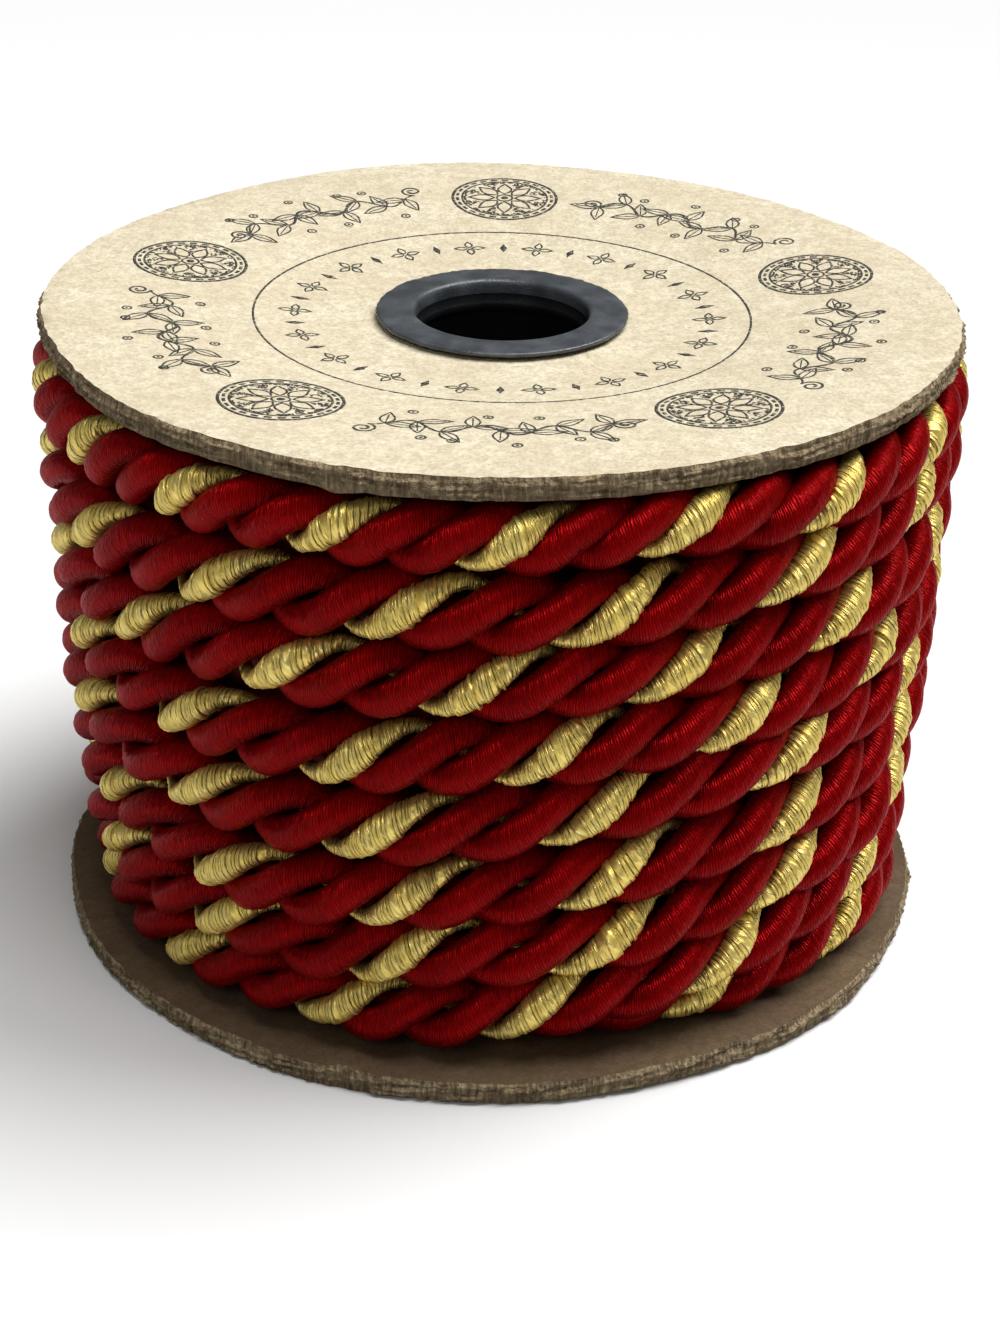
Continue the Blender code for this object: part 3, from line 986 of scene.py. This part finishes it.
def thread_group():
    """Threads across a strand: a sine ridge for each one, bent and broken by noise drawn out along them.

    Count is the threads to a unit of length, Slant turns them, and Length shortens each one.
    """
    tree, given, result = start_group("threads", {
        "Along": 0.0, "Across": 0.0, "Count": 3.0, "Slant": 0.4, "Length": 0.25}, ["Height"])
    straight = calculate(tree, "MULTIPLY", given["Along"], given["Count"])
    slanted = calculate(tree, "MULTIPLY_ADD", given["Across"], given["Slant"], straight)
    across = calculate(tree, "MULTIPLY", given["Across"], given["Length"])
    place = add_node(tree, "ShaderNodeCombineXYZ", {0: slanted, 1: across}).outputs[0]
    noise = add_node(tree, "ShaderNodeTexNoise", {
        "Vector": place, "Scale": 1.0, "Detail": 2.0, "Roughness": 0.6}).outputs[0]
    bent = calculate(tree, "MULTIPLY_ADD", noise, 0.9, slanted)
    ridge = calculate(tree, "SINE", calculate(tree, "MULTIPLY", bent, math.tau))
    raised = calculate(tree, "MULTIPLY_ADD", ridge, 0.5, 0.5)
    uneven = spread_value(tree, noise, 0.36, 0.62, 0.15, 1.0)
    tree.links.new(calculate(tree, "MULTIPLY", raised, uneven), result["Height"])


def mottled(tree, place, scale, **others):
    """The mottle group's mask at a scale, with its other inputs where they aren't the group's own."""
    group = bpy.data.node_groups["mottle"]
    inputs = {"Vector": place, "Scale": scale, **others}
    return add_node(tree, "ShaderNodeGroup", inputs, node_tree=group).outputs[0]


def threaded(tree, along, across, count, slant, length):
    """The threads group's height."""
    group = bpy.data.node_groups["threads"]
    inputs = {"Along": along, "Across": across, "Count": count, "Slant": slant, "Length": length}
    return add_node(tree, "ShaderNodeGroup", inputs, node_tree=group).outputs[0]


def start_material(name, roughness, metallic=0.0):
    """A material with its tree, its shader and the object coordinates."""
    material = bpy.data.materials.new(name)
    material.use_nodes = True
    tree = material.node_tree
    shader = tree.nodes["Principled BSDF"]
    shader.inputs["Roughness"].default_value = roughness
    shader.inputs["Metallic"].default_value = metallic
    place = tree.nodes.new("ShaderNodeTexCoord").outputs["Object"]
    return material, tree, shader, place


def finish_shader(tree, shader, colour, height=None, distance=0.0, roughness=None):
    """Leads a colour, a bump and a roughness to the shader. The bump's whole range is a distance."""
    tree.links.new(colour, shader.inputs["Base Color"])
    if roughness is not None:
        tree.links.new(roughness, shader.inputs["Roughness"])
    if height is not None:
        bump = add_node(tree, "ShaderNodeBump", {"Height": height, "Distance": distance, "Strength": 1.0})
        tree.links.new(bump.outputs[0], shader.inputs["Normal"])


def yarn_coordinates(tree):
    """The length along the strand and the length round it, from the piece's own map."""
    layer = add_node(tree, "ShaderNodeUVMap", uv_map="yarn_map")
    parts = add_node(tree, "ShaderNodeSeparateXYZ", {0: layer.outputs[0]}).outputs
    return parts[0], parts[1]


def red_material():
    """Satin red yarn: fine threads across the strand, with painted shade in the hollows between them and
    painted light on their tops.
    """
    material, tree, shader, place = start_material("red_satin_yarn", 0.34, 0.45)
    along, across = yarn_coordinates(tree)
    fine = threaded(tree, along, across, count=2.7, slant=-0.82, length=0.7)
    broad = threaded(tree, along, across, count=0.9, slant=-0.27, length=0.12)
    cloud = mottled(tree, place, 160.0)
    hollow_shade = mix_colour(tree, cloud, *RED_HOLLOW_SHADE)
    lit = mix_colour(tree, cloud, *RED_LIT)
    shader.inputs["IOR"].default_value = 1.20
    shader.inputs["Specular IOR Level"].default_value = 1.0
    shader.inputs["Specular Tint"].default_value = (*RED_GLOSS, 1.0)
    height = calculate(tree, "MULTIPLY_ADD", broad, 0.6, fine)
    roughness = spread_value(tree, fine, 0.0, 1.0, 0.42, 0.20)
    # painted shade in the thread hollows, painted light on the thread tops
    colour = mix_colour(tree, fine, hollow_shade, lit)
    finish_shader(tree, shader, colour, height, distance=0.00016, roughness=roughness)
    return material


def gold_material():
    """Flat metal thread: each wrap has its own tone, finer threads in it with painted shade between them, and
    a dark line beside it.
    """
    material, tree, shader, place = start_material("gold_metal_yarn", 0.34, 0.74)
    number, across = yarn_coordinates(tree)
    whole = calculate(tree, "FLOOR", number)
    wrap = add_node(tree, "ShaderNodeTexWhiteNoise", {"W": whole}, noise_dimensions="1D").outputs["Value"]
    within = calculate(tree, "ABSOLUTE", calculate(tree, "SUBTRACT", calculate(tree, "FRACT", number), 0.5))
    groove = spread_value(tree, within, 0.30, 0.46)
    fine = threaded(tree, number, across, count=2.5, slant=0.3, length=0.35)
    cloud = mottled(tree, place, 420.0, Detail=2.0)
    broken = mottled(tree, place, 700.0, Low=0.34, High=0.54)
    tone = calculate(tree, "MULTIPLY_ADD", cloud, 0.35, calculate(tree, "MULTIPLY", wrap, 0.65))
    # painted shade where the finer threads are low, over each wrap's own tone
    shade = mix_colour(tree, fine, GOLD_HOLLOW_SHADE, mix_colour(tree, tone, *GOLD_WARM))
    line = calculate(tree, "MULTIPLY", groove, broken)
    colour = mix_colour(tree, calculate(tree, "MULTIPLY", line, 0.82), shade, GOLD_LINE)
    height = calculate(tree, "MULTIPLY_ADD", line, -1.0, fine)
    roughness = spread_value(tree, fine, 0.0, 1.0, 0.48, 0.34)
    finish_shader(tree, shader, colour, height, distance=0.00010, roughness=roughness)
    return material


def inner_material():
    """Dull red yarn for the turns under the outer ones."""
    material, tree, shader, place = start_material("inner_red_yarn", 0.70)
    cloud = mottled(tree, place, 500.0)
    finish_shader(tree, shader, mix_colour(tree, cloud, *INNER_REDS), cloud, distance=0.00015)
    return material


def board_material(name, tones):
    """Chipboard: soft clouds, fine fibres and a few darker flecks."""
    material, tree, shader, place = start_material(name, 0.88)
    cloud = mottled(tree, place, 110.0, Detail=5.0)
    blotch = mottled(tree, place, 620.0, Detail=2.0, Low=0.40, High=0.62)
    speck = mottled(tree, place, 1900.0, Low=0.40, High=0.60)
    fleck = mottled(tree, place, 1500.0, Detail=1.0, Low=0.66, High=0.74)
    fibre = calculate(tree, "MULTIPLY_ADD", speck, 0.55, calculate(tree, "MULTIPLY", blotch, 0.45))
    ground = mix_colour(tree, cloud, tones[0], tones[1])
    paper = mix_colour(tree, fibre, tones[2], ground)
    soft = mix_colour(tree, 0.75, ground, paper)
    colour = mix_colour(tree, calculate(tree, "MULTIPLY", fleck, 0.5), soft, tones[3])
    finish_shader(tree, shader, colour, fibre, distance=0.00005)
    return material


def edge_material():
    """The board's cut edge: darker, rough, in thin layers."""
    material, tree, shader, place = start_material("kraft_board_edge", 0.92)
    layer = mottled(tree, place, 190.0, Stretch=6.0, Detail=4.0, Low=0.34, High=0.68)
    grain = mottled(tree, place, 1900.0, Stretch=0.16, Low=0.38, High=0.62)
    band = mix_colour(tree, layer, EDGE_COLOURS[0], EDGE_COLOURS[1])
    colour = mix_colour(tree, calculate(tree, "MULTIPLY", grain, 0.55), band, EDGE_COLOURS[2])
    finish_shader(tree, shader, colour, calculate(tree, "MULTIPLY_ADD", layer, 1.2, grain), distance=0.00022)
    return material


def ink_material():
    """Printing ink: soft black, worn through to the board here and there."""
    material, tree, shader, place = start_material("printing_ink", 0.80)
    worn = mottled(tree, place, 1900.0, Low=0.52, High=0.72)
    finish_shader(tree, shader, mix_colour(tree, calculate(tree, "MULTIPLY", worn, 0.75), *INK_COLOURS))
    return material


def plastic_material(name, gloss, colours):
    """Black plastic with a faint grain and paler scuffs."""
    material, tree, shader, place = start_material(name, 0.38)
    scuff = mottled(tree, place, 260.0, Detail=6.0, Low=0.40, High=0.75)
    grain = mottled(tree, place, 2600.0, Detail=2.0)
    shader.inputs["Specular IOR Level"].default_value = gloss
    roughness = spread_value(tree, scuff, 0.0, 1.0, 0.34, 0.48)
    colour = mix_colour(tree, scuff, *colours)
    finish_shader(tree, shader, colour, grain, distance=0.00002, roughness=roughness)
    return material


# Stage
FLOOR_SIZE = 4.0
FLOOR_LEVEL = -0.00005
FLOOR_SHADE = 0.90
FLOOR_GLEAM = 0.85
FLOOR_BOUNCE = 0.32
KEY_STRENGTH = 2.85
KEY_SOFTNESS = 40.0
KEY_DIRECTION = (0.491, 0.199, 0.848)
SOFT_LIGHTS = (
    # name, place, size and power
    ("high_light", (0.08, -0.22, 0.95), 0.40, 3.9),
    ("front_light", (-0.28, -0.72, 0.62), 0.26, 0.75),
)
LIGHT_AIM = (0.0, 0.0, 0.05)
WORLD_STRENGTH = 0.125
CAMERA_PITCH = 0.47171439279138094
CAMERA_YAW = 0.002280840374917099
CAMERA_ROLL = 0.022859773300744967
CAMERA_DISTANCE = 5.731810655537301 * FLANGE_RADIUS
CAMERA_HEIGHT = 3.4508948144051512 * FLANGE_RADIUS
CAMERA_LENS = 2750.0 / 1333.0
SENSOR = 36.0


def add_floor():
    """A pale floor: one shade in view, one in gleams and one for the light it gives back."""
    half = 0.5 * FLOOR_SIZE
    corners = [(x, y, FLOOR_LEVEL) for x, y in ((-half, -half), (half, -half), (half, half), (-half, half))]
    mesh = bpy.data.meshes.new("floor")
    mesh.from_pydata(corners, [], [(0, 1, 2, 3)])
    material, tree, shader, _ = start_material("pale_floor", 0.80)
    path = tree.nodes.new("ShaderNodeLightPath").outputs
    unseen = mix_colour(tree, path["Is Glossy Ray"], [FLOOR_BOUNCE] * 3, [FLOOR_GLEAM] * 3)
    finish_shader(tree, shader, mix_colour(tree, path["Is Camera Ray"], unseen, [FLOOR_SHADE] * 3))
    shader.inputs["Specular IOR Level"].default_value = 0.0
    mesh.materials.append(material)
    new_object("floor", mesh)


def add_lamp(name, kind, energy, turned, place=(0.0, 0.0, 0.0)):
    """A lamp turned by a quaternion. It gives back its light, for the settings of its kind."""
    light = bpy.data.lights.new(name, kind)
    light.energy = energy
    lamp = new_object(name, light)
    lamp.location = place
    lamp.rotation_euler = turned.to_euler()
    return light


def add_lights():
    """A broad high sun, two soft lamps above the front and a faint even surround."""
    key = add_lamp("key_light", "SUN", KEY_STRENGTH, Vector(KEY_DIRECTION).to_track_quat("Z", "Y"))
    key.angle = math.radians(KEY_SOFTNESS)
    for name, place, size, power in SOFT_LIGHTS:
        aim = Vector(LIGHT_AIM) - Vector(place)
        add_lamp(name, "AREA", power, aim.to_track_quat("-Z", "Y"), place).size = size
    world = bpy.data.worlds.new("studio")
    world.use_nodes = True
    background = world.node_tree.nodes["Background"]
    background.inputs["Color"].default_value = (1.0, 1.0, 1.0, 1.0)
    background.inputs["Strength"].default_value = WORLD_STRENGTH
    bpy.context.scene.world = world


def add_camera():
    """The photograph's view, from a fit of the boards' rims and the rows of cord."""
    cosine = math.cos(CAMERA_PITCH)
    forward = Vector((math.sin(CAMERA_YAW) * cosine, math.cos(CAMERA_YAW) * cosine, -math.sin(CAMERA_PITCH)))
    level = forward.cross(Vector((0.0, 0.0, 1.0))).normalized()
    upright = level.cross(forward)
    right = math.cos(CAMERA_ROLL) * level + math.sin(CAMERA_ROLL) * upright
    up = math.cos(CAMERA_ROLL) * upright - math.sin(CAMERA_ROLL) * level
    axes = Matrix((right, up, -forward)).transposed().to_4x4()
    data = bpy.data.cameras.new("camera")
    data.sensor_fit = "VERTICAL"
    data.sensor_height = SENSOR
    data.lens = CAMERA_LENS * SENSOR
    data.clip_start = 0.01
    camera = new_object("camera", data)
    camera.matrix_world = Matrix.Translation((0.0, -CAMERA_DISTANCE, CAMERA_HEIGHT)) @ axes
    bpy.context.scene.camera = camera


def main():
    """All the pieces, then the stage."""
    mottle_group()
    thread_group()
    red = red_material()
    gold = gold_material()
    red_strand("red_strand_a", RED_PHASE, RED_SEEDS[0], red)
    red_strand("red_strand_b", -RED_PHASE, RED_SEEDS[1], red)
    first = KNOT_LAYS[0] + END_LAYS
    last = KNOT_LAYS[-1] - END_LAYS
    middle = round(0.5 * (first + last)) + 0.5
    gold_strand("gold_strand_lower", first, middle, GOLD_SEEDS[0], gold)
    gold_strand("gold_strand_upper", middle, last, GOLD_SEEDS[1], gold)
    inner_turns(inner_material())
    face = board_material("kraft_board_face", FACE_COLOURS)
    # the inner faces' material is painted shade
    inside = board_material("kraft_board_inside_shaded", INSIDE_SHADE_COLOURS)
    boards([face, edge_material(), inside])
    rim = plastic_material("satin_black_plastic", RIM_GLOSS, RIM_COLOURS)
    # the bore's material is painted shade
    bore = plastic_material("bore_shaded_black_plastic", BORE_GLOSS, BORE_SHADE_COLOURS)
    hubs([rim, bore])
    printed_ornament(ink_material())
    add_floor()
    add_lights()
    add_camera()
    bpy.context.scene.view_settings.view_transform = "Standard"


main()
